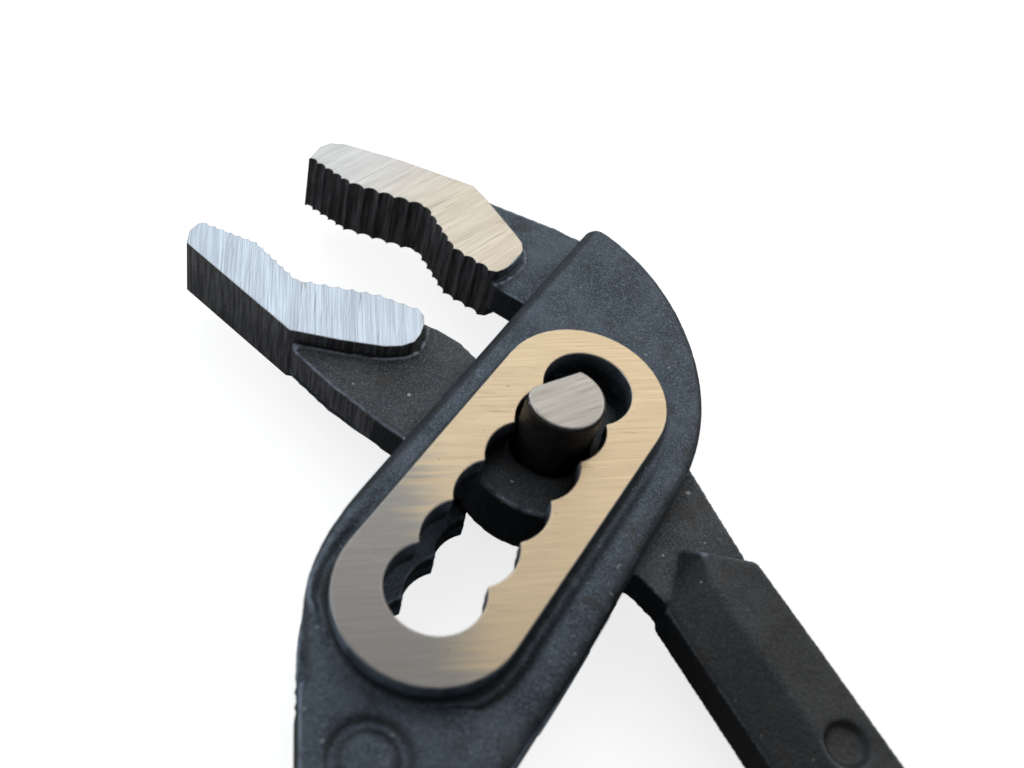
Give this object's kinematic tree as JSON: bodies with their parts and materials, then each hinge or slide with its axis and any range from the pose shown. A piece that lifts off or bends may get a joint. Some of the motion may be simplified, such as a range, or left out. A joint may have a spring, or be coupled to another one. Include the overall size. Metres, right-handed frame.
{
  "type": "tongue and groove pliers",
  "caption": "Box joint water pump pliers: toothed angled jaws, a notched adjusting slot with a flatted pivot pin, and two curved handles with dipped grips.",
  "frame": {"origin": "middle of the footprint on the bench, in the plane of the back pad; the pivot pin axis stands at x -62.2 mm, y 73.9 mm with the pin in the second notch from the upper jaw, and mid-thickness is at z 7.2 mm", "axes": "+Y along the adjusting slot towards the upper jaw, -X towards the jaw tips, +Z out of the face with the proud pin end"},
  "size_m": [0.2188, 0.2098, 0.0185],
  "materials": {
    "outer_forging": "blue-black phosphated forging, with ground slot pads and jaw plates",
    "inner_forging": "blue-black phosphated forging, with ground jaw plates",
    "pin_steel": "ground bright end, dark flank",
    "outer_grip": "matt black dipped vinyl",
    "inner_grip": "matt black dipped vinyl"
  },
  "bodies": {
    "outer_member": {"outer_jaw_handle": "outer_forging", "outer_handle_grip": "outer_grip"},
    "pin": {"pivot_pin": "pin_steel"},
    "inner_member": {"inner_jaw_handle": "inner_forging", "inner_handle_grip": "inner_grip"}
  },
  "joints": [
    {"name": "slot_slide", "type": "slide", "parent": "outer_member", "child": "pin", "axis": [0, -1, 0], "range_m": [-0.006, 0.024]},
    {"name": "pivot_hinge", "type": "hinge", "parent": "pin", "child": "inner_member", "pos_m": [-0.0622, 0.0739, 0.0072], "axis": [0, 0, 1], "range_deg": [-12.5, 29.7]}
  ]
}
